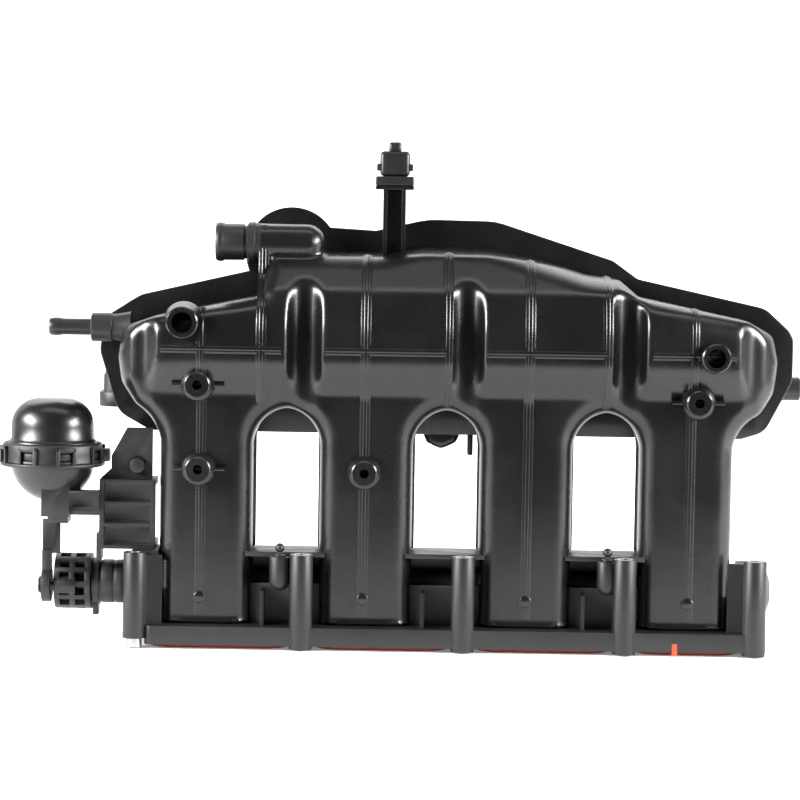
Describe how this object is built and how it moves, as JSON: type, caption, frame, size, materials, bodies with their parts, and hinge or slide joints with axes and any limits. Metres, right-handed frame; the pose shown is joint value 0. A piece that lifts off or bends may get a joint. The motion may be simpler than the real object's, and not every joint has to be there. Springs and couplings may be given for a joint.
{
  "type": "intake manifold",
  "caption": "Plastic intake manifold: plenum on bent runners over a head flange, with tumble flaps on a shaft that a vacuum actuator turns by a pull rod and crank.",
  "frame": {"origin": "middle of the four corner bolts, on the face that meets the cylinder head", "axes": "+X along the engine to the closed end of the plenum, +Y from the fronts of the runners to the throttle side, +Z away from the cylinder head"},
  "size_m": [0.4464, 0.135, 0.2787],
  "materials": {
    "shell_plastic": "satin glass-filled nylon",
    "dark_plastic": "satin",
    "grey_plastic": "matt",
    "gloss_plastic": "glossy",
    "steel": "zinc plated",
    "brass": "turned",
    "silicone": "matt",
    "rubber": "matt"
  },
  "bodies": {
    "manifold": {"flange_housing": "shell_plastic", "front_shell": "shell_plastic", "runner_back_1": "shell_plastic", "runner_back_2": "shell_plastic", "runner_back_3": "shell_plastic", "runner_back_4": "shell_plastic", "rear_shell": "shell_plastic", "port_gasket_1": "silicone", "port_gasket_2": "silicone", "port_gasket_3": "silicone", "port_gasket_4": "silicone", "bolt_sleeves": "steel", "shaft_bushes": "grey_plastic", "bearing_cartridge": "dark_plastic", "cartridge_seal": "rubber", "actuator_bracket": "grey_plastic", "bracket_screw": "dark_plastic", "actuator_bowl": "dark_plastic", "actuator_dome": "gloss_plastic", "snap_ring": "dark_plastic", "diaphragm": "rubber", "return_spring": "steel", "vent_spigot": "dark_plastic", "purge_spigot": "dark_plastic", "brake_spigot": "dark_plastic", "harness_clip": "grey_plastic", "throttle_seal": "silicone", "throttle_inserts": "brass", "end_cap": "dark_plastic", "end_cap_seal": "rubber", "clip_pins": "grey_plastic"},
    "flap_train": {"flap_shaft": "steel", "flap_1": "dark_plastic", "flap_2": "dark_plastic", "flap_3": "dark_plastic", "flap_4": "dark_plastic", "flap_screws": "steel", "crank_drum": "dark_plastic", "crank_pin": "dark_plastic"},
    "actuator_rod": {"pull_rod": "dark_plastic", "diaphragm_plate": "dark_plastic"}
  },
  "joints": [
    {"name": "flap_shaft_turn", "type": "hinge", "parent": "manifold", "child": "flap_train", "pos_m": [0, 0.004, 0.0315], "axis": [-1, 0, 0], "range_deg": [0, 50]},
    {"name": "rod_pull", "type": "slide", "parent": "manifold", "child": "actuator_rod", "axis": [0, 0, 1], "range_m": [0, 0.00972], "stiffness_N_per_m": 800, "springref_m": -0.004, "deforming": ["return_spring", "diaphragm"]}
  ],
  "couplings": [
    {"joint": "flap_shaft_turn", "follows": "rod_pull", "rad_per_m": 89.77}
  ]
}
